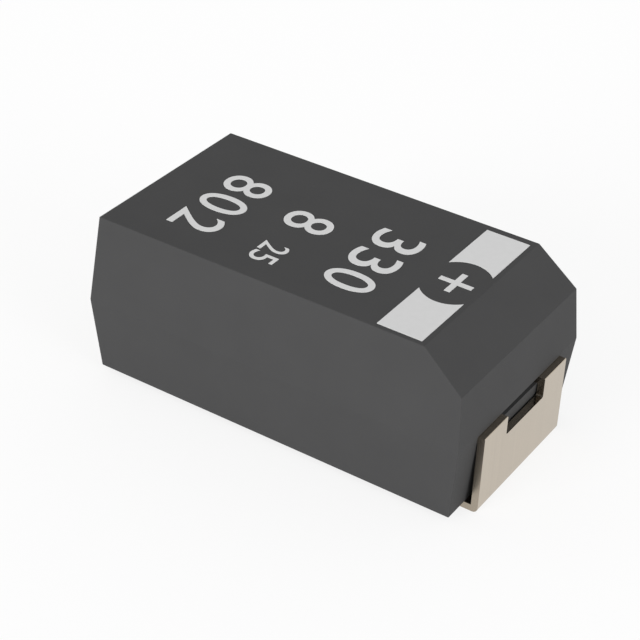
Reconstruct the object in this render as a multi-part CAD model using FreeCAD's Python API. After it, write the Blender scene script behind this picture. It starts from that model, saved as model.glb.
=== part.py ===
import FreeCAD, Part
import math
import os

from FreeCAD import Vector

# A moulded tantalum chip capacitor, made of ten pieces.
# Lengths are in millimetres, +Z is up, and the origin is on the board, under the middle of the part.
# +X points to the anode (plus) end, which has a bevel along its top edge.

# Overall sizes
overall_length = 6.0  # from the outer face of one terminal to that of the other
overall_width = 3.2  # across the case, at its parting plane
overall_height = 2.5  # from the board to the top of the case

# Lead frame sheet, and the terminals folded from it
sheet = 0.10
terminal_width = 2.2
foot_length = 1.3
shoulder_radius = 0.01  # outside of the bend where a lead turns down, which is coined to a crisp edge
heel_radius = 0.08  # outside of the bend where a lead turns under the case
window_width = 1.0  # opening in the anode terminal, which eases its bend
window_sill = 0.90  # height of that opening's lower edge above the board
window_bury = 0.15  # how far the opening reaches into the case, where the moulding locks in it
window_slot_depth = 0.10  # how far into the case that opening stays clear of moulding
window_corner = 0.03
shoulder_land = 0.25  # full-width stretch of each lead inside the case

# Moulded case
parting_height = 1.21  # where the two halves of the mould meet
draft_degrees = 5.0
bevel_run = 0.55
bevel_drop = 0.50
case_edge_radius = 0.015
exit_step = 0.025  # the leads leave this far under the parting plane
glue_pad_gap = 0.30  # from the pad under the case to the tip of each foot
glue_pad_width = 2.4
glue_pad_clearance = 0.04  # from the board to the pad
glue_pad_corner = 0.30

# Walls of the case round the element
top_wall = 0.32
side_wall = 0.32  # at the parting plane
floor_wall = 0.24  # under the cathode lead's paddle
cathode_wall = 0.42  # from the case's end to the cathode lead's step
anode_room = 1.35  # from the case's end to the tantalum block

# Element: the tantalum block, its coats and its wire
pellet_edge_radius = 0.12
polymer_thickness = 0.04
carbon_thickness = 0.03
silver_thickness = 0.05
carbon_setback = 0.12  # bare polymer left at the wire end
silver_setback = 0.10  # bare carbon left behind that
wire_diameter = 0.36
wire_bury = 2.2  # length of wire inside the block
washer_diameter = 1.0
washer_thickness = 0.14

# Joints inside the case
tongue_length = 0.90  # the anode lead's reach into the case
tongue_width = 1.2
wire_end_gap = 0.40  # from the case's end to the wire's end
weld_flat = 0.03  # how far the wire is pressed flat on the anode lead
paddle_length = 1.7
paddle_width = 1.6
step_radius = 0.20  # outside of the two bends between the cathode lead's exit and its paddle
glue_line = 0.05  # silver adhesive under the element
glue_end = 0.06  # silver adhesive behind the element
glue_climb = 0.50  # height of the adhesive behind the element
glue_margin = 0.08  # bare paddle left round the adhesive

# Places worked out from the sizes above
half_length = overall_length / 2
case_end = half_length - sheet
case_bottom = sheet
draft = math.tan(math.radians(draft_degrees))
lead_top = parting_height - exit_step

foot_tip = half_length - foot_length
tongue_tip = case_end - tongue_length

coats = polymer_thickness + carbon_thickness + silver_thickness
step_face = -(case_end - cathode_wall - sheet)
paddle_top = case_bottom + floor_wall + sheet
paddle_tip = step_face + paddle_length
pellet_back = step_face + glue_end + coats
pellet_front = case_end - anode_room
pellet_half_width = overall_width / 2 - side_wall - coats
pellet_bottom = paddle_top + glue_line + coats
pellet_top = overall_height - top_wall - coats
wire_axis_height = lead_top + wire_diameter / 2 - weld_flat


def block(x_range, half_width, z_range):
    """A plain block, centred on the part's long axis."""
    size_x = x_range[1] - x_range[0]
    size_z = z_range[1] - z_range[0]
    corner = Vector(x_range[0], -half_width, z_range[0])
    return Part.makeBox(size_x, 2 * half_width, size_z, corner)


def rounded_wire(corners):
    """A closed outline through the corners, each (point, radius), with a tangent arc at each round one."""
    bends = []
    for index, (point, radius) in enumerate(corners):
        before = corners[index - 1][0]
        after = corners[(index + 1) % len(corners)][0]
        inward = (point - before).normalize()
        outward = (after - point).normalize()
        turn = inward.getAngle(outward)
        reach = radius * math.tan(turn / 2)
        towards_centre = (outward - inward).normalize()
        middle = point + towards_centre * (radius / math.cos(turn / 2) - radius)
        bends.append((radius, point - inward * reach, middle, point + outward * reach))
    edges = []
    for index, (radius, start, middle, end) in enumerate(bends):
        if radius > 0:
            edges.append(Part.Arc(start, middle, end).toShape())
        next_start = bends[(index + 1) % len(bends)][1]
        edges.append(Part.LineSegment(end, next_start).toShape())
    return Part.Wire(edges)


def folded_strip(path, width):
    """A strip of the sheet, folded along a path in the XZ plane.

    The path is one face of the strip, as (x, z, outside radius of the bend there), and the sheet lies
    to the right of it.
    """
    points = [Vector(x, 0, z) for x, z, radius in path]
    runs = [(after - before).normalize() for before, after in zip(points, points[1:])]
    rights = [Vector(run.z, 0, -run.x) for run in runs]
    face = [(points[0], 0)]
    back = [(points[0] + rights[0] * sheet, 0)]
    for index in range(1, len(points) - 1):
        into, out_of = rights[index - 1], rights[index]
        mitre = (into + out_of) * (sheet / (1 + into.dot(out_of)))
        outside = path[index][2]
        inside = max(outside - sheet, 0)
        turns_right = runs[index].dot(into) > 0
        face.append((points[index], outside if turns_right else inside))
        back.append((points[index] + mitre, inside if turns_right else outside))
    face.append((points[-1], 0))
    back.append((points[-1] + rights[-1] * sheet, 0))
    profile = Part.Face(rounded_wire(face + back[::-1]))
    profile.translate(Vector(0, -width / 2, 0))
    return profile.extrude(Vector(0, width, 0))


def side_cutters(x_range, width):
    """What is cut off both sides of a lead inside the case, to leave a width over a stretch."""
    z_range = (case_bottom, overall_height)
    full = block(x_range, terminal_width, z_range)
    return full.cut(block(x_range, width / 2, z_range))


def anode_window():
    """The opening in the anode terminal, from inside the case over the shoulder and down to its sill."""
    half = window_width / 2
    top = lead_top + sheet
    outline = [
        (Vector(half_length, -half, top), 0),
        (Vector(half_length, -half, window_sill), window_corner),
        (Vector(half_length, half, window_sill), window_corner),
        (Vector(half_length, half, top), 0),
    ]
    depth = sheet + window_bury
    return Part.Face(rounded_wire(outline)).extrude(Vector(-depth, 0, 0))


def make_anode_terminal():
    """Foot, end plate with its window, and the tongue that the wire is welded to."""
    path = [
        (tongue_tip, lead_top, 0),
        (half_length, lead_top, shoulder_radius),
        (half_length, 0, heel_radius),
        (foot_tip, 0, 0),
    ]
    strip = folded_strip(path, terminal_width)
    tongue_stretch = (tongue_tip, case_end - shoulder_land)
    return strip.cut(side_cutters(tongue_stretch, tongue_width)).cut(anode_window())


def make_cathode_terminal():
    """Foot, end plate, and the step down to the paddle that the element is glued on."""
    path = [
        (-foot_tip, 0, 0),
        (-half_length, 0, heel_radius),
        (-half_length, lead_top, shoulder_radius),
        (step_face, lead_top, step_radius),
        (step_face, paddle_top, step_radius),
        (paddle_tip, paddle_top, 0),
    ]
    strip = folded_strip(path, terminal_width)
    paddle_stretch = (-(case_end - shoulder_land), paddle_tip)
    return strip.cut(side_cutters(paddle_stretch, paddle_width))


def element_block(growth, front):
    """The tantalum block grown by the coats on it, cut off square at a place along X where one is given."""
    whole = block(
        (pellet_back - growth, pellet_front + growth),
        pellet_half_width + growth,
        (pellet_bottom - growth, pellet_top + growth),
    )
    rounded = whole.makeFillet(pellet_edge_radius + growth, whole.Edges)
    if front is None:
        return rounded
    beyond = block((front, half_length), overall_width, (0, overall_height))
    return rounded.cut(beyond)


def wire_cylinder(diameter, start, end):
    """A round bar on the wire's axis."""
    centre = Vector(start, 0, wire_axis_height)
    return Part.makeCylinder(diameter / 2, end - start, centre, Vector(1, 0, 0))


def make_tantalum_wire():
    """The wire from inside the block to the anode lead's tongue, pressed flat where it is welded."""
    wire = wire_cylinder(wire_diameter, pellet_front - wire_bury, case_end - wire_end_gap)
    pressed = block((tongue_tip, case_end), wire_diameter, (0, lead_top))
    return wire.cut(pressed)


def make_silver_adhesive(silver_block, cathode_terminal):
    """Fills the corner between the painted element, the paddle and the cathode lead's step."""
    silver_back = pellet_back - coats
    silver_bottom = pellet_bottom - coats
    corner = pellet_edge_radius + coats
    half_width = paddle_width / 2 - glue_margin
    under = block(
        (step_face, paddle_tip - glue_margin),
        half_width,
        (paddle_top, silver_bottom),
    )
    behind = block(
        (step_face, silver_back + corner),
        half_width,
        (paddle_top, paddle_top + glue_climb),
    )
    return under.fuse(behind).removeSplitter().cut(silver_block).cut(cathode_terminal)


def case_half(far_height):
    """One half of the case, which tapers by the draft from the parting plane to a height."""
    shrink = abs(far_height - parting_height) * draft
    outlines = []
    for height, inset in ((parting_height, 0), (far_height, shrink)):
        x = case_end - inset
        y = overall_width / 2 - inset
        corners = [Vector(x, -y, height), Vector(x, y, height), Vector(-x, y, height), Vector(-x, -y, height)]
        outlines.append(Part.makePolygon(corners + corners[:1]))
    return Part.makeLoft(outlines, True, True)


def round_free_edges(half):
    """Rounds a case half along every edge that isn't on the parting plane."""
    edges = [edge for edge in half.Edges if any(abs(v.Z - parting_height) > 1e-6 for v in edge.Vertexes)]
    return half.makeFillet(case_edge_radius, edges)


def end_face_at(height):
    """How far out the case's drafted end face is, at a height over the parting plane."""
    return case_end - (height - parting_height) * draft


def bevel_cutter():
    """What the polarity bevel takes off the anode end's top edge."""
    bevel_foot = overall_height - bevel_drop
    low = Vector(end_face_at(bevel_foot), 0, bevel_foot)
    high = Vector(end_face_at(overall_height) - bevel_run, 0, overall_height)
    slope = high - low
    below = low - slope
    above = high + slope
    outside = half_length + bevel_run
    outline = [below, above, Vector(outside, 0, above.z), Vector(outside, 0, below.z)]
    face = Part.Face(Part.makePolygon(outline + outline[:1]))
    face.translate(Vector(0, -overall_width, 0))
    return face.extrude(Vector(0, 2 * overall_width, 0))


def glue_pad():
    """The low pad under the case that a dot of board adhesive reaches."""
    x = foot_tip - glue_pad_gap
    y = glue_pad_width / 2
    bottom = glue_pad_clearance
    corners = [Vector(x, -y, bottom), Vector(x, y, bottom), Vector(-x, y, bottom), Vector(-x, -y, bottom)]
    outline = rounded_wire([(corner, glue_pad_corner) for corner in corners])
    return Part.Face(outline).extrude(Vector(0, 0, case_bottom - bottom))


def window_slot():
    """The slot left in the case's end behind the anode terminal's window, as high as the lead is thick."""
    x_range = (case_end - window_slot_depth, half_length)
    return block(x_range, window_width / 2, (lead_top - sheet, lead_top))


def make_moulded_case(enclosed):
    """The case, moulded round everything that it encloses."""
    upper = round_free_edges(case_half(overall_height).cut(bevel_cutter()))
    lower = round_free_edges(case_half(case_bottom))
    case = upper.fuse([lower, glue_pad()]).removeSplitter()
    for shape in [window_slot()] + enclosed:
        case = case.cut(shape)
    return case


def make_pieces():
    """Every piece of the part by name."""
    polymer_growth = polymer_thickness
    carbon_growth = polymer_growth + carbon_thickness
    silver_growth = carbon_growth + silver_thickness
    carbon_rim = pellet_front - carbon_setback
    silver_rim = carbon_rim - silver_setback

    anode_terminal = make_anode_terminal()
    cathode_terminal = make_cathode_terminal()
    tantalum_wire = make_tantalum_wire()

    bare_block = element_block(0, None)
    polymer_block = element_block(polymer_growth, None)
    carbon_block = element_block(carbon_growth, carbon_rim)
    silver_block = element_block(silver_growth, silver_rim)
    washer_disc = wire_cylinder(washer_diameter, pellet_front, pellet_front + washer_thickness)

    adhesive = make_silver_adhesive(silver_block, cathode_terminal)
    enclosed = [silver_block, carbon_block, polymer_block, washer_disc, tantalum_wire]
    enclosed += [adhesive, anode_terminal, cathode_terminal]
    return {
        "moulded_case": make_moulded_case(enclosed),
        "anode_terminal": anode_terminal,
        "cathode_terminal": cathode_terminal,
        "tantalum_pellet": bare_block.cut(tantalum_wire),
        "tantalum_wire": tantalum_wire,
        "wire_washer": washer_disc.cut(tantalum_wire),
        "polymer_coat": polymer_block.cut(bare_block).cut(washer_disc),
        "carbon_coat": carbon_block.cut(polymer_block),
        "silver_coat": silver_block.cut(carbon_block).cut(polymer_block),
        "silver_adhesive": adhesive,
    }


os.makedirs("parts", exist_ok=True)
for name, shape in make_pieces().items():
    solids = shape.Solids
    print(name, "solids", len(solids), "valid", shape.isValid(), "volume", round(shape.Volume, 5))
    shape.exportStep(os.path.join("parts", name + ".step"))
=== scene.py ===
# %% [markdown]
# # A moulded tantalum chip capacitor, dressed for its portrait
# The part is already built to size: a moulded case, two folded terminals, and the sintered element with
# its coats inside. Here it gets its finishes, its printed marks, a camera, soft light and a pale floor.
# The solids could be rebuilt in Blender, but then nothing would prove that they still fit each other.
# So they are loaded as a fixed frame, and everything below takes its place from their measured boxes.

import math

import bpy
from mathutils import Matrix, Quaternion, Vector


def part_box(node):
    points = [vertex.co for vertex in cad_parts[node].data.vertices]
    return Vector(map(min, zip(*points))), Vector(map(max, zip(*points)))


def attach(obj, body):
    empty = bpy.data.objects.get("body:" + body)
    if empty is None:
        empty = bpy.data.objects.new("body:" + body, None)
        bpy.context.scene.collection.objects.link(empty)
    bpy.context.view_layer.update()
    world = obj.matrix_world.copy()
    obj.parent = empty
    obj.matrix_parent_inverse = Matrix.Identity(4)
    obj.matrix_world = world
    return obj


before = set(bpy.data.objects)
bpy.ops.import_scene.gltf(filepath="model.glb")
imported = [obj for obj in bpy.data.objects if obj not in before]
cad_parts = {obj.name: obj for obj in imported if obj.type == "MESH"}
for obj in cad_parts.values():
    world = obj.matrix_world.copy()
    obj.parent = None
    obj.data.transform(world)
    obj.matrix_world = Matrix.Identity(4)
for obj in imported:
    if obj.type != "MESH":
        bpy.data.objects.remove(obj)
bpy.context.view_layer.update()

MM = 0.001
MICRON = 0.000001

case_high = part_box("moulded_case")[1]
top_face = case_high.z
anode_end = case_high.x

print("top face in mm:", round(top_face / MM, 3), "anode end of the case in mm:", round(anode_end / MM, 3))

# %% [markdown]
# ## Camera
# A product portrait of a small part is taken from some way off with a long lens, so that its edges stay
# nearly parallel. The camera could be placed by eye, but its angles were worked out from the corners of
# the case: it looks down by about 34 degrees, from 32 degrees round towards the bevelled end, and leans
# a little. Angles and a distance say this more plainly than a matrix would, so they are what is kept.

# %% Set the camera
camera_azimuth = math.radians(32.04)
camera_elevation = math.radians(33.87)
camera_lean = math.radians(2.72)
camera_distance = 25.0 * MM
aim_point = Vector((-0.171, -0.030, 1.124)) * MM
lens_mm = 103.35
sensor_mm = 36.0
nearest_seen = 0.5 * MM
farthest_seen = 10.0


def direction_from_part(azimuth, elevation):
    """The way out from the part. Azimuth 0 leaves by the near long side, and 90 degrees by the plus end."""
    level = math.cos(elevation)
    return Vector((math.sin(azimuth) * level, -math.cos(azimuth) * level, math.sin(elevation)))


away = direction_from_part(camera_azimuth, camera_elevation)
camera_data = bpy.data.cameras.new("portrait_camera")
camera_data.lens = lens_mm
camera_data.sensor_width = sensor_mm
camera_data.clip_start = nearest_seen
camera_data.clip_end = farthest_seen
camera = bpy.data.objects.new("portrait_camera", camera_data)
camera.rotation_mode = "QUATERNION"
camera.location = aim_point + away * camera_distance
camera.rotation_quaternion = (-away).to_track_quat("-Z", "Y") @ Quaternion((0, 0, 1), camera_lean)
bpy.context.scene.collection.objects.link(camera)
bpy.context.scene.camera = camera
bpy.context.scene.view_settings.view_transform = "Standard"

print("camera place in mm:", [round(value / MM, 2) for value in camera.location])

# %% [markdown]
# ## Small helpers for node trees
# Materials and Geometry Nodes are graphs of nodes. Wiring one takes the same few steps each time: add a
# node, set its options, join an output to an input. One helper does that, and three short ones use it for
# arithmetic, so that a sum takes one line in a recipe. The last starts a node group with named inputs and
# outputs: that is how an effect is built once, and then placed in each material that needs it with that
# material's own values.

# %% Helpers that add a node and start a group
def add_node(tree, kind, inputs=None, **options):
    """A new node with its options set, and its inputs set to values or joined to other nodes' outputs."""
    node = tree.nodes.new(kind)
    for option, value in options.items():
        setattr(node, option, value)
    for socket, value in (inputs or {}).items():
        if isinstance(value, bpy.types.NodeSocket):
            tree.links.new(value, node.inputs[socket])
        else:
            node.inputs[socket].default_value = value
    return node


def add_math(tree, operation, *numbers, **options):
    """The result of one step of arithmetic on numbers."""
    inputs = dict(enumerate(numbers))
    return add_node(tree, "ShaderNodeMath", inputs, operation=operation, **options).outputs[0]


def add_vector_math(tree, operation, *vectors):
    """The result of one step of arithmetic on vectors."""
    inputs = dict(enumerate(vectors))
    return add_node(tree, "ShaderNodeVectorMath", inputs, operation=operation).outputs[0]


def add_vector(tree, x, y, z):
    """A vector put together from three numbers."""
    return add_node(tree, "ShaderNodeCombineXYZ", {"X": x, "Y": y, "Z": z}).outputs[0]


def new_group(name, kind, inputs, outputs):
    """A node group and its two end nodes. Each input is (name, socket type, default)."""
    tree = bpy.data.node_groups.new(name, kind)
    for socket, socket_type, default in inputs:
        item = tree.interface.new_socket(socket, in_out="INPUT", socket_type=socket_type)
        if default is not None:
            item.default_value = default
    for socket, socket_type in outputs:
        tree.interface.new_socket(socket, in_out="OUTPUT", socket_type=socket_type)
    return tree, tree.nodes.new("NodeGroupInput"), tree.nodes.new("NodeGroupOutput")


# %% [markdown]
# ## Shared effect: moulded grain
# Plastic takes the texture of the steel that it was moulded in. A spark-eroded cavity leaves pits of some
# hundredths of a millimetre, with no direction, over slower changes of tone where the compound flowed.
# An image of real plastic could show that, but a noise in the part's own coordinates never stretches,
# has no seam and works at any distance. The group gives the pits as a height and the slow part as a tone.

# %% Build the grain group
def build_grain_group():
    tree, start, end = new_group(
        "moulded_grain",
        "ShaderNodeTree",
        [("Grain Size", "NodeSocketFloat", 20 * MICRON), ("Mottle Size", "NodeSocketFloat", 0.5 * MM)],
        [("Height", "NodeSocketFloat"), ("Tone", "NodeSocketFloat")],
    )
    place = add_node(tree, "ShaderNodeTexCoord").outputs["Object"]
    for source, target, detail in (("Grain Size", "Height", 2.0), ("Mottle Size", "Tone", 3.0)):
        per_metre = add_math(tree, "DIVIDE", 1.0, start.outputs[source])
        noise_inputs = {"Vector": place, "Scale": per_metre, "Detail": detail}
        noise = add_node(tree, "ShaderNodeTexNoise", noise_inputs).outputs["Fac"]
        tree.links.new(noise, end.inputs[target])
    return tree


moulded_grain = build_grain_group()
print("grain group nodes:", len(moulded_grain.nodes))

# %% [markdown]
# ## Shared effect: drawn lines
# Sheet that was rolled and wire that was pulled through a die carry fine lines along their length, and
# streaks of tone that are about four times as broad. Both are a noise squeezed across the metal and pulled
# long along it. An anisotropic shader could fake their sheen, but lines with a height of their own also
# show close up. The three densities say how many waves a metre holds along each axis: a low one runs with
# the lines, a high one crosses them.

# %% Build the drawn lines group
streak_density = 0.23


def build_lines_group():
    tree, start, end = new_group(
        "drawn_lines",
        "ShaderNodeTree",
        [("Waves Per Metre", "NodeSocketVector", (500.0, 50000.0, 500.0))],
        [("Height", "NodeSocketFloat"), ("Tone", "NodeSocketFloat")],
    )
    place = add_node(tree, "ShaderNodeTexCoord").outputs["Object"]
    squeezed = add_vector_math(tree, "MULTIPLY", place, start.outputs["Waves Per Metre"])
    for target, density, detail in (("Height", 1.0, 3.0), ("Tone", streak_density, 1.0)):
        noise_inputs = {"Vector": squeezed, "Scale": density, "Detail": detail}
        noise = add_node(tree, "ShaderNodeTexNoise", noise_inputs).outputs["Fac"]
        tree.links.new(noise, end.inputs[target])
    return tree


drawn_lines = build_lines_group()
print("drawn lines group nodes:", len(drawn_lines.nodes))

# %% [markdown]
# ## Shared effect: packed powder
# The element is pressed and sintered from powder, and its silver paint and glue are full of flakes. Such
# surfaces are many small cells, each with its own tilt and brightness. A Voronoi pattern is made of just
# such cells: the distance to a cell's middle is its height, and its random colour is its tone.

# %% Build the powder group
def build_powder_group():
    tree, start, end = new_group(
        "packed_powder",
        "ShaderNodeTree",
        [("Particle Size", "NodeSocketFloat", 15 * MICRON)],
        [("Height", "NodeSocketFloat"), ("Tone", "NodeSocketFloat")],
    )
    place = add_node(tree, "ShaderNodeTexCoord").outputs["Object"]
    per_metre = add_math(tree, "DIVIDE", 1.0, start.outputs["Particle Size"])
    cells = add_node(tree, "ShaderNodeTexVoronoi", {"Vector": place, "Scale": per_metre}).outputs
    domed = add_math(tree, "SUBTRACT", 1.0, cells["Distance"], use_clamp=True)
    own_tone = add_node(tree, "ShaderNodeSeparateColor", {"Color": cells["Color"]}).outputs["Red"]
    tree.links.new(domed, end.inputs["Height"])
    tree.links.new(own_tone, end.inputs["Tone"])
    return tree


packed_powder = build_powder_group()
print("powder group nodes:", len(packed_powder.nodes))

# %% [markdown]
# ## Small helpers for finishes
# A finish is mostly the same recipe: a Principled shader, a colour that a mask picks between two others,
# a roughness that a mask spreads, and a relief. A material could be wired by hand each time, but then its
# few real choices would drown in links. So the steps are helpers, and make_finish does them all with one
# shared effect. What is left of a finish is a list of what it is made of.

# %% Helpers that make up a finish
def new_material(name, settings):
    """A material with a Principled shader, whose plain values are set straight on its sockets."""
    material = bpy.data.materials.new(name)
    material.use_nodes = True
    shader = material.node_tree.nodes["Principled BSDF"]
    for socket, value in settings.items():
        shader.inputs[socket].default_value = value
    return material, material.node_tree, shader


def use_effect(tree, effect, sizes):
    """Places a shared effect in a material with that material's own sizes, and returns its outputs."""
    return add_node(tree, "ShaderNodeGroup", sizes, node_tree=effect).outputs


def blend_colours(tree, mask, dark, light):
    """The colour between two others that a mask picks."""
    mix_inputs = {"Factor": mask, "A": (*dark, 1), "B": (*light, 1)}
    return add_node(tree, "ShaderNodeMix", mix_inputs, data_type="RGBA").outputs["Result"]


def between(tree, mask, low, high):
    """A mask from 0 to 1, spread from a low to a high value."""
    return add_node(tree, "ShaderNodeMapRange", {"Value": mask, "To Min": low, "To Max": high}).outputs[0]


def press_relief(tree, shader, height, depth):
    """Gives a surface a relief of a real depth in metres, from a height between 0 and 1."""
    bump = add_node(tree, "ShaderNodeBump", {"Height": height, "Distance": depth, "Strength": 1.0})
    tree.links.new(bump.outputs["Normal"], shader.inputs["Normal"])


def make_finish(name, effect, sizes, dark, light, roughness, relief, rough_by="Height", settings=None):
    """A material made from one shared effect at its own sizes.

    The effect's tone picks the colour, its height is the relief, and rough_by names the one of the two
    that spreads the roughness.
    """
    material, tree, shader = new_material(name, settings or {})
    masks = use_effect(tree, effect, sizes)
    tree.links.new(blend_colours(tree, masks["Tone"], dark, light), shader.inputs["Base Color"])
    tree.links.new(between(tree, masks[rough_by], *roughness), shader.inputs["Roughness"])
    press_relief(tree, shader, masks["Height"], relief)
    return material


# %% [markdown]
# ## Moulded case
# The case is black-filled epoxy, dark grey and matt. Its gloss is low because the mould's grain scatters
# it, so the shader is rough and its reflection is turned down. A single grey would look like paint in
# thin air, so the grain gives it a relief of half a micron, and the mottle moves the grey by a hair.

# %% Make the epoxy
def dress(node, material):
    """Gives a loaded solid its finish."""
    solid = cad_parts[node]
    solid.material_slots[0].material = material
    print("dressed", node, "in", material.name)


epoxy = make_finish(
    "moulded_epoxy",
    moulded_grain,
    {"Grain Size": 22 * MICRON, "Mottle Size": 0.6 * MM},
    dark=(0.050, 0.050, 0.0505),
    light=(0.056, 0.056, 0.0565),
    roughness=(0.62, 0.78),
    relief=0.5 * MICRON,
    settings={"Specular IOR Level": 0.08},
)
dress("moulded_case", epoxy)

# %% [markdown]
# ## Terminals
# Both terminals are cut from one rolled strip, plated a warm pale metal, and folded. Their flat faces are
# satin: the lines of the rolls run along the strip. The sides were sheared in the press, so they are
# rougher and duller. The fold changes direction in X and Z but never in Y, so lines that cross Y only stay
# in line with the strip round every bend, and a normal that points along Y picks out each sheared side.

# %% Make the terminal plating
rolled_dark = (0.462, 0.403, 0.328)
rolled_light = (0.505, 0.439, 0.354)
rolled_roughness = (0.10, 0.18)
sheared_colour = (0.385, 0.335, 0.270)
sheared_extra_roughness = 0.13
rolled_relief = 0.12 * MICRON


def make_plating():
    material, tree, shader = new_material("satin_plating", {"Metallic": 1.0})
    lines = use_effect(tree, drawn_lines, {"Waves Per Metre": (700.0, 90000.0, 700.0)})
    facing = add_node(tree, "ShaderNodeTexCoord").outputs["Normal"]
    across = add_node(tree, "ShaderNodeSeparateXYZ", {"Vector": facing}).outputs["Y"]
    sheared = add_math(tree, "ABSOLUTE", across)

    rolled = blend_colours(tree, lines["Tone"], rolled_dark, rolled_light)
    colour_inputs = {"Factor": sheared, "A": rolled, "B": (*sheared_colour, 1)}
    colour = add_node(tree, "ShaderNodeMix", colour_inputs, data_type="RGBA").outputs["Result"]
    tree.links.new(colour, shader.inputs["Base Color"])

    satin = between(tree, lines["Height"], *rolled_roughness)
    rougher = add_math(tree, "MULTIPLY", sheared, sheared_extra_roughness)
    tree.links.new(add_math(tree, "ADD", satin, rougher), shader.inputs["Roughness"])
    press_relief(tree, shader, lines["Height"], rolled_relief)
    return material


plating = make_plating()
for terminal in ("anode_terminal", "cathode_terminal"):
    dress(terminal, plating)

# %% [markdown]
# ## Block, silver paint and glue
# None of the element shows in the portrait, but the part can be taken apart on the screen, so each piece
# has its true finish. The block is sintered tantalum powder, dark and porous. It ends up under silver
# paint, which is full of flakes, and silver-filled glue holds it to the minus lead. All three are cells of
# the powder group, at three sizes, and a brighter cell is also a rougher one.

# %% Make the powder finishes
sintered = make_finish(
    "sintered_tantalum",
    packed_powder,
    {"Particle Size": 24 * MICRON},
    dark=(0.085, 0.085, 0.092),
    light=(0.16, 0.16, 0.17),
    roughness=(0.6, 0.85),
    relief=8 * MICRON,
    rough_by="Tone",
    settings={"Metallic": 0.6},
)
silver_paint = make_finish(
    "silver_flake_paint",
    packed_powder,
    {"Particle Size": 12 * MICRON},
    dark=(0.52, 0.51, 0.48),
    light=(0.72, 0.71, 0.68),
    roughness=(0.35, 0.6),
    relief=1.5 * MICRON,
    rough_by="Tone",
    settings={"Metallic": 0.9},
)
silver_glue = make_finish(
    "silver_flake_glue",
    packed_powder,
    {"Particle Size": 18 * MICRON},
    dark=(0.45, 0.44, 0.41),
    light=(0.66, 0.65, 0.62),
    roughness=(0.4, 0.65),
    relief=3 * MICRON,
    rough_by="Tone",
    settings={"Metallic": 0.8},
)
dress("tantalum_pellet", sintered)
dress("silver_coat", silver_paint)
dress("silver_adhesive", silver_glue)

# %% [markdown]
# ## Polymer, carbon and washer
# These differ from the powders: they were liquids or a smooth sheet, so they have no cells. They take the
# grain group, with their own sizes. The polymer that covers the block is a blue-black film that dried
# glossy with faint ripples, the carbon over it stayed matt like soot, and the fluoropolymer washer is
# white, waxy and lets a little light into itself.

# %% Make the coats and the washer
polymer_film = make_finish(
    "conductive_polymer",
    moulded_grain,
    {"Grain Size": 60 * MICRON, "Mottle Size": 0.4 * MM},
    dark=(0.009, 0.012, 0.028),
    light=(0.016, 0.021, 0.044),
    roughness=(0.25, 0.45),
    relief=4 * MICRON,
    settings={"Coat Weight": 0.3},
)
carbon_film = make_finish(
    "carbon_dip",
    moulded_grain,
    {"Grain Size": 14 * MICRON, "Mottle Size": 0.3 * MM},
    dark=(0.012, 0.012, 0.012),
    light=(0.021, 0.021, 0.021),
    roughness=(0.8, 0.95),
    relief=2 * MICRON,
)
washer_plastic = make_finish(
    "white_fluoropolymer",
    moulded_grain,
    {"Grain Size": 40 * MICRON, "Mottle Size": 0.3 * MM},
    dark=(0.83, 0.83, 0.81),
    light=(0.88, 0.88, 0.86),
    roughness=(0.35, 0.5),
    relief=0.8 * MICRON,
    settings={"Subsurface Weight": 0.2, "Subsurface Scale": 0.05 * MM},
)
dress("polymer_coat", polymer_film)
dress("carbon_coat", carbon_film)
dress("wire_washer", washer_plastic)

# %% [markdown]
# ## Tantalum wire
# The wire was drawn through a die, so its lines run along it, in X, and cross Y and Z. It is a blue-grey
# metal, darker than the plating. The drawn lines group gives it the terminals' kind of finish, and every
# value is its own.

# %% Make the wire's metal
wire_metal = make_finish(
    "drawn_tantalum",
    drawn_lines,
    {"Waves Per Metre": (500.0, 110000.0, 110000.0)},
    dark=(0.31, 0.32, 0.35),
    light=(0.38, 0.39, 0.42),
    roughness=(0.22, 0.36),
    relief=0.3 * MICRON,
    settings={"Metallic": 1.0},
)
dress("tantalum_wire", wire_metal)

# %% [markdown]
# ## Marking ink
# The marks on the top are a thin, matt, slightly grey white. They follow the case's grain, because a film
# this thin can't fill it, and they cover a little unevenly. So the ink uses the same grain group as the
# epoxy does, and lets its mottle darken the white by a few hundredths.

# %% Make the ink
ink = make_finish(
    "marking_ink",
    moulded_grain,
    {"Grain Size": 22 * MICRON, "Mottle Size": 0.09 * MM},
    dark=(0.585, 0.585, 0.585),
    light=(0.62, 0.62, 0.62),
    roughness=(0.55, 0.75),
    relief=0.6 * MICRON,
    settings={"Specular IOR Level": 0.3},
)
print("ink material:", ink.name)

# %% [markdown]
# ## Running a geometry recipe
# Marks that follow a rule are made by Geometry Nodes: a tree of steps with named sizes, run by a modifier
# on an empty mesh. Its result is then kept as a plain mesh and the modifier is taken off, so that nothing
# has to be worked out again later. The sizes are set by each socket's identifier, which is what the
# modifier stores, while the name is what a reader sees. Every recipe ends in the same two steps: instances
# are made real, because other programs can't read them, and the finish is set.

# %% Helpers that place a shape, end a recipe, and run it and keep its mesh
def add_transform(tree, geometry, **changes):
    """A geometry with its Translation, Rotation or Scale changed."""
    return add_node(tree, "GeometryNodeTransform", {"Geometry": geometry, **changes}).outputs["Geometry"]


def end_recipe(tree, end, geometry, finish):
    """The last nodes of a recipe: instances made real, and the finish set."""
    realized = add_node(tree, "GeometryNodeRealizeInstances", {"Geometry": geometry}).outputs["Geometry"]
    finished = add_node(tree, "GeometryNodeSetMaterial", {"Geometry": realized, "Material": finish})
    tree.links.new(finished.outputs["Geometry"], end.inputs["Geometry"])


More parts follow.
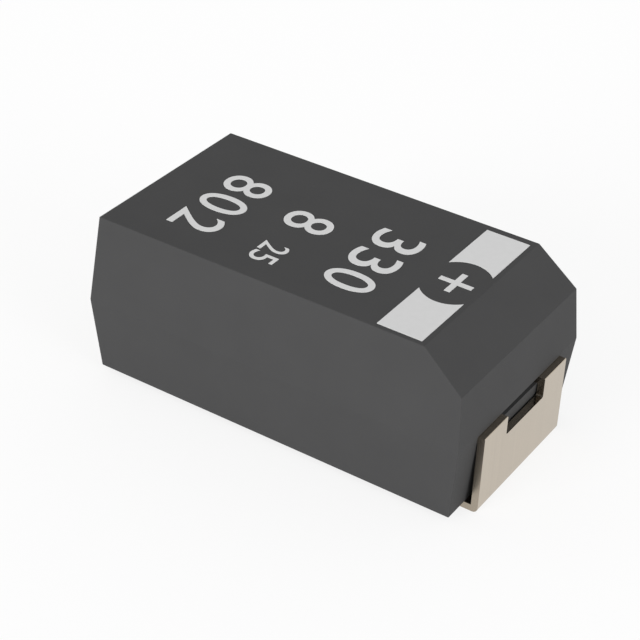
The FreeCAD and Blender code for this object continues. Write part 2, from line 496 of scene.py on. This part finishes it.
def run_recipe(name, tree, sizes):
    """A new piece made by a geometry tree from named sizes, kept as a plain mesh."""
    piece = bpy.data.objects.new(name, bpy.data.meshes.new(name))
    bpy.context.scene.collection.objects.link(piece)
    recipe = piece.modifiers.new("recipe", "NODES")
    recipe.node_group = tree
    for item in tree.interface.items_tree:
        if item.in_out == "INPUT" and item.name in sizes:
            recipe[item.identifier] = sizes[item.name]
    evaluated = piece.evaluated_get(bpy.context.evaluated_depsgraph_get())
    piece.data = bpy.data.meshes.new_from_object(evaluated)
    piece.modifiers.clear()
    return piece


# %% [markdown]
# ## Measuring a piece
# A mesh can look right and still be inside out. A sum shows it: each triangle makes a small pyramid with
# the origin, which counts as positive if the triangle faces away from there and as negative if not. For a
# closed piece whose faces all point outwards, the pyramids add up to its true volume.

# %% Helper that measures a piece
def report_piece(piece):
    """Prints a piece's size and volume. The volume is positive only if its faces point outwards."""
    piece.data.calc_loop_triangles()
    places = [vertex.co for vertex in piece.data.vertices]
    spans = [max(axis) - min(axis) for axis in zip(*places)]
    six_volumes = 0.0
    for triangle in piece.data.loop_triangles:
        a, b, c = (places[index] for index in triangle.vertices)
        six_volumes += a.dot(b.cross(c))
    print(
        piece.name,
        "size in mm:", [round(span / MM, 3) for span in spans],
        "volume in cubic mm:", round(six_volumes / 6 / MM**3, 6),
        "triangles:", len(piece.data.loop_triangles),
    )


# %% [markdown]
# ## Polarity band
# A band across the top, beside the bevel, marks the plus end. An oval field in its middle is left bare
# for the plus sign. The band could be drawn in the case's material with a mask, but then it would be no
# piece of its own. Here it is a film of ink with a real thickness: a thin plate, minus a cylinder. The
# cylinder starts one metre across, so that its scale is the field's own size, and it is taller than the
# film, so that it cuts right through.

# %% Build the band's recipe
oval_sides = 128
unit_radius = 0.5
cutter_over_film = 4.0


def build_band_tree():
    tree, start, end = new_group(
        "polarity_band",
        "GeometryNodeTree",
        [
            ("Band Width", "NodeSocketFloat", 0.7 * MM),
            ("Band Length", "NodeSocketFloat", 2.8 * MM),
            ("Film", "NodeSocketFloat", 0.01 * MM),
            ("Field Width", "NodeSocketFloat", 1.0 * MM),
            ("Field Length", "NodeSocketFloat", 1.0 * MM),
            ("Place", "NodeSocketVector", (0.0, 0.0, 0.0)),
            ("Ink", "NodeSocketMaterial", None),
        ],
        [("Geometry", "NodeSocketGeometry")],
    )
    sizes = start.outputs
    plate_size = add_vector(tree, sizes["Band Width"], sizes["Band Length"], sizes["Film"])
    plate = add_node(tree, "GeometryNodeMeshCube", {"Size": plate_size}).outputs["Mesh"]

    cutter_height = add_math(tree, "MULTIPLY", sizes["Film"], cutter_over_film)
    cylinder_inputs = {"Vertices": oval_sides, "Radius": unit_radius, "Depth": cutter_height}
    cylinder = add_node(tree, "GeometryNodeMeshCylinder", cylinder_inputs).outputs["Mesh"]
    oval = add_vector(tree, sizes["Field Width"], sizes["Field Length"], 1.0)
    field = add_transform(tree, cylinder, Scale=oval)

    cut_inputs = {"Mesh 1": plate, "Mesh 2": field}
    cut = add_node(tree, "GeometryNodeMeshBoolean", cut_inputs, operation="DIFFERENCE", solver="EXACT")
    placed = add_transform(tree, cut.outputs["Mesh"], Translation=sizes["Place"])
    end_recipe(tree, end, placed, sizes["Ink"])
    return tree


band_tree = build_band_tree()
print("band recipe nodes:", len(band_tree.nodes))

# %% [markdown]
# ## The band in its place
# The ink stands five microns over the case. A film that only lay on the top face would share a plane with
# it, and the two would flicker through each other, so it also starts a little under that face. Along the
# part the band's place is measured from the case's plus end, which the frame gives.

# %% Make the band
film_over_case = 5 * MICRON
film_in_case = 4 * MICRON
film = film_over_case + film_in_case
film_middle = top_face + (film_over_case - film_in_case) / 2

band_width = 0.649 * MM
band_length = 2.774 * MM
band_inset = 1.061 * MM
band_shift = -0.025 * MM
field_width = 0.926 * MM
field_length = 1.060 * MM

band = run_recipe(
    "polarity_band",
    band_tree,
    {
        "Band Width": band_width,
        "Band Length": band_length,
        "Film": film,
        "Field Width": field_width,
        "Field Length": field_length,
        "Place": (anode_end - band_inset, band_shift, film_middle),
        "Ink": ink,
    },
)
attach(band, "root")
report_piece(band)

# %% [markdown]
# ## One figure
# The figures stand in columns across the case, and read from its far side to its near side. A text object
# would give each figure its own width, but a marking machine gives all of them the same cell. So a recipe
# picks one figure of a word, draws its outline and fills it. Then it centres the figure by its own box and
# stretches it to the cell.

# %% Draw one figure and fit it to its cell
def built_in_font():
    """Blender's own typeface, which any new text curve comes with."""
    text_curve = bpy.data.curves.new("type_sample", "FONT")
    font = text_curve.font
    bpy.data.curves.remove(text_curve)
    return font


def add_figure(tree, sizes, step):
    """Nodes that pick one figure of the word, draw its outline and fill it."""
    letter_inputs = {"String": sizes["Figures"], "Position": step, "Length": 1}
    letter = add_node(tree, "FunctionNodeSliceString", letter_inputs).outputs["String"]
    outline_inputs = {"String": letter, "Size": sizes["Cell Height"]}
    outline = add_node(tree, "GeometryNodeStringToCurves", outline_inputs, font=built_in_font())
    curves_inputs = {"Geometry": outline.outputs["Curve Instances"]}
    curves = add_node(tree, "GeometryNodeRealizeInstances", curves_inputs).outputs["Geometry"]
    return add_node(tree, "GeometryNodeFillCurve", {"Curve": curves}).outputs["Mesh"]


def add_fit(tree, flat, width, height):
    """Nodes that centre a flat shape by its own box, and stretch it to a width and a height."""
    box = add_node(tree, "GeometryNodeBoundBox", {"Geometry": flat}).outputs
    corner_sum = add_vector_math(tree, "ADD", box["Min"], box["Max"])
    to_middle = add_vector_math(tree, "MULTIPLY", corner_sum, (-0.5, -0.5, -0.5))
    centred = add_transform(tree, flat, Translation=to_middle)

    span = add_vector_math(tree, "SUBTRACT", box["Max"], box["Min"])
    own = add_node(tree, "ShaderNodeSeparateXYZ", {"Vector": span}).outputs
    wider = add_math(tree, "DIVIDE", width, own["X"])
    taller = add_math(tree, "DIVIDE", height, own["Y"])
    return add_transform(tree, centred, Scale=add_vector(tree, wider, taller, 1.0))


# %% [markdown]
# ## A row of figures
# The machine steps a fixed pitch from one cell to the next. A repeat zone does the same: it runs once for
# each figure of the word, and each turn adds one figure to what the turns before it made. The figures could
# also be instances on a line of points, but each of them is another shape, so there is nothing to repeat.
# A figure's place is counted in pitches from the middle of the row.

# %% Step the figures along a row
def add_place_in_row(tree, sizes, step, count):
    """Nodes that turn a figure's number into its place along the row."""
    last = add_math(tree, "SUBTRACT", count, 1.0)
    middle = add_math(tree, "DIVIDE", last, 2.0)
    steps_off = add_math(tree, "SUBTRACT", step, middle)
    along = add_math(tree, "MULTIPLY", steps_off, sizes["Pitch"])
    return add_vector(tree, along, 0.0, 0.0)


def add_join(tree, first, second):
    """Two geometries as one."""
    joined = add_node(tree, "GeometryNodeJoinGeometry")
    tree.links.new(first, joined.inputs["Geometry"])
    tree.links.new(second, joined.inputs["Geometry"])
    return joined.outputs["Geometry"]


def add_row(tree, sizes):
    """Nodes that repeat a figure's making for the whole word, and join the figures in one flat shape."""
    count = add_node(tree, "FunctionNodeStringLength", {"String": sizes["Figures"]}).outputs["Length"]
    turn_start = add_node(tree, "GeometryNodeRepeatInput")
    turn_end = add_node(tree, "GeometryNodeRepeatOutput")
    turn_start.pair_with_output(turn_end)
    tree.links.new(count, turn_start.inputs["Iterations"])
    step = turn_start.outputs["Iteration"]

    figure = add_fit(tree, add_figure(tree, sizes, step), sizes["Cell Width"], sizes["Cell Height"])
    spaced = add_transform(tree, figure, Translation=add_place_in_row(tree, sizes, step, count))
    row_so_far = add_join(tree, turn_start.outputs["Geometry"], spaced)
    tree.links.new(row_so_far, turn_end.inputs["Geometry"])
    return turn_end.outputs["Geometry"]


# %% [markdown]
# ## From a flat face to a film
# Ink has a thickness, and a flat face has neither a side nor an underside. Extruding the face makes the top
# and the walls but leaves the bottom open. So the face itself is turned over to close the bottom, and the
# doubled points are merged. The whole recipe is a row of figures, these three steps, a place, a turn and
# the ink.

# %% Build the figures' recipe
merge_reach = 0.1 * MICRON


def add_depth(tree, face, depth):
    """Nodes that give a flat face a depth, as a closed slab over it."""
    upwards = add_vector(tree, 0.0, 0.0, 1.0)
    raised_inputs = {"Mesh": face, "Offset": upwards, "Offset Scale": depth, "Individual": False}
    raised = add_node(tree, "GeometryNodeExtrudeMesh", raised_inputs).outputs["Mesh"]
    underside = add_node(tree, "GeometryNodeFlipFaces", {"Mesh": face}).outputs["Mesh"]
    merged_inputs = {"Geometry": add_join(tree, raised, underside), "Distance": merge_reach}
    return add_node(tree, "GeometryNodeMergeByDistance", merged_inputs).outputs["Geometry"]


def build_figures_tree():
    tree, start, end = new_group(
        "stepped_figures",
        "GeometryNodeTree",
        [
            ("Figures", "NodeSocketString", "0"),
            ("Cell Width", "NodeSocketFloat", 0.4 * MM),
            ("Cell Height", "NodeSocketFloat", 0.7 * MM),
            ("Pitch", "NodeSocketFloat", 0.6 * MM),
            ("Film", "NodeSocketFloat", 0.01 * MM),
            ("Place", "NodeSocketVector", (0.0, 0.0, 0.0)),
            ("Turn", "NodeSocketRotation", None),
            ("Ink", "NodeSocketMaterial", None),
        ],
        [("Geometry", "NodeSocketGeometry")],
    )
    sizes = start.outputs
    slab = add_depth(tree, add_row(tree, sizes), sizes["Film"])
    placed = add_transform(tree, slab, Translation=sizes["Place"], Rotation=sizes["Turn"])
    end_recipe(tree, end, placed, sizes["Ink"])
    return tree


figures_tree = build_figures_tree()
print("figures recipe nodes:", len(figures_tree.nodes))

# %% [markdown]
# ## The figures and the plus sign
# Each mark now needs only its figures, its cell and its place. The three columns stand 1.2 mm apart, and
# the first is set off from the case's plus end, as the band is. Which figures they are doesn't matter to
# the part, so these are plain numbers: a three-figure group at each end, a single figure and a small pair
# between them.

# %% Print the figures
large_cell = (0.434 * MM, 0.716 * MM)
large_pitch = 0.575 * MM
small_cell = (0.215 * MM, 0.40 * MM)
small_pitch = 0.262 * MM
plus_cell = (0.48 * MM, 0.48 * MM)

column_step = 1.199 * MM
first_column_inset = 2.180 * MM
first_column = anode_end - first_column_inset
group_row = -0.2155 * MM
single_row = 0.073 * MM
pair_row = -0.868 * MM
field_row = -0.028 * MM
film_floor = top_face - film_in_case
read_from_far_side = (0.0, 0.0, -math.pi / 2)

marks = [
    ("figures_by_band", "330", large_cell, large_pitch, first_column, group_row),
    ("figure_in_middle", "8", large_cell, large_pitch, first_column - column_step, single_row),
    ("small_figures", "25", small_cell, small_pitch, first_column - column_step, pair_row),
    ("figures_by_far_end", "802", large_cell, large_pitch, first_column - 2 * column_step, group_row),
    ("plus_sign", "+", plus_cell, large_pitch, anode_end - band_inset, field_row),
]
for name, figures, cell, pitch, x, y in marks:
    mark = run_recipe(
        name,
        figures_tree,
        {
            "Figures": figures,
            "Cell Width": cell[0],
            "Cell Height": cell[1],
            "Pitch": pitch,
            "Film": film,
            "Place": (x, y, film_floor),
            "Turn": read_from_far_side,
            "Ink": ink,
        },
    )
    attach(mark, "root")
    report_piece(mark)

# %% [markdown]
# ## Floor
# The part stands on a plain pale floor that runs past the picture on every side. It is a single square
# face at the height of the feet. A curved backdrop could hide the horizon, but the camera looks down far
# enough to see none.

# %% Lay the floor
floor_reach = 1.5

floor_corners = [(x * floor_reach, y * floor_reach, 0) for x, y in ((-1, -1), (1, -1), (1, 1), (-1, 1))]
floor_mesh = bpy.data.meshes.new("floor")
floor_mesh.from_pydata(floor_corners, [], [(0, 1, 2, 3)])
floor = bpy.data.objects.new("floor", floor_mesh)
bpy.context.scene.collection.objects.link(floor)
print("floor side in m:", 2 * floor_reach)

# %% [markdown]
# ## White without glare
# A floor lit to pure white would need so much light that the part would wash out. So the floor is an
# honest pale surface, which still takes the part's soft shadow, and the rays that the camera and the metal
# send get a share of plain white on top. The light that falls on the part stays as it is.

# %% Make the floor's paper
plain_white = (1, 1, 1, 1)
pale_paper = (0.95, 0.95, 0.95, 1)
floor_whitening = 0.8


def seen_directly(tree):
    """A mask that is 1 for rays from the camera, or mirrored or bent by the part, and 0 for its light."""
    path = add_node(tree, "ShaderNodeLightPath").outputs
    either = add_math(tree, "MAXIMUM", path["Is Camera Ray"], path["Is Glossy Ray"])
    return add_math(tree, "MAXIMUM", either, path["Is Transmission Ray"])


def make_floor_paper():
    settings = {"Base Color": pale_paper, "Roughness": 1.0, "Specular IOR Level": 0.0}
    material, tree, shader = new_material("floor_paper", settings)
    share = add_math(tree, "MULTIPLY", seen_directly(tree), floor_whitening)
    white = add_node(tree, "ShaderNodeEmission", {"Color": plain_white, "Strength": 1.0}).outputs[0]
    mixed = add_node(tree, "ShaderNodeMixShader", {0: share, 1: shader.outputs[0], 2: white}).outputs[0]
    tree.links.new(mixed, tree.nodes["Material Output"].inputs["Surface"])
    return material


floor_paper = make_floor_paper()
floor.data.materials.append(floor_paper)
print("floor in", floor_paper.name)

# %% [markdown]
# ## Light from the room
# The room is a soft white, as inside a light tent, brighter round the sides than overhead, and it does most
# of the work. A picture of a real studio could light the part too, but a strength that falls off with
# height is plainer and gives the same even faces. The camera and the metal see the room as plain white.

# %% Set the room
strength_low_down = 1.55
strength_overhead = 0.37
strength_seen = 1.0

world = bpy.data.worlds.new("light_tent")
bpy.context.scene.world = world
world.use_nodes = True
world_tree = world.node_tree
room = world_tree.nodes["Background"]
room.inputs["Color"].default_value = plain_white
direction = add_node(world_tree, "ShaderNodeTexCoord").outputs["Generated"]
upwards = add_node(world_tree, "ShaderNodeSeparateXYZ", {"Vector": direction}).outputs["Z"]
tent = between(world_tree, upwards, strength_low_down, strength_overhead)
strength = between(world_tree, seen_directly(world_tree), tent, strength_seen)
world_tree.links.new(strength, room.inputs["Strength"])
print("room strength from", strength_overhead, "overhead to", strength_low_down, "low down")

# %% [markdown]
# ## Light from two soft boxes
# Two large soft boxes stand over half a metre off, which is far for a part this small, so each face gets
# one even tone. They stand low, one before the long side and one before the bevelled end, so the sides
# come out a little lighter than the top. Small lamps would be simpler, but their shadows have hard edges.

# %% Set the soft boxes
box_size = 0.28
box_distance = 0.60
box_elevation = math.radians(15.0)
front_azimuth = math.radians(-15.0)
front_watts = 2.1
end_azimuth = math.radians(80.0)
end_watts = 1.3


def add_soft_box(name, azimuth, watts):
    """A square soft box that looks at the part, from an azimuth round it."""
    outwards = direction_from_part(azimuth, box_elevation)
    lamp = bpy.data.lights.new(name, "AREA")
    lamp.shape = "SQUARE"
    lamp.size = box_size
    lamp.energy = watts
    holder = bpy.data.objects.new(name, lamp)
    holder.location = outwards * box_distance
    holder.rotation_euler = (-outwards).to_track_quat("-Z", "Y").to_euler()
    bpy.context.scene.collection.objects.link(holder)
    print("soft box", name, "power in W:", watts)


add_soft_box("front_box", front_azimuth, front_watts)
add_soft_box("end_box", end_azimuth, end_watts)
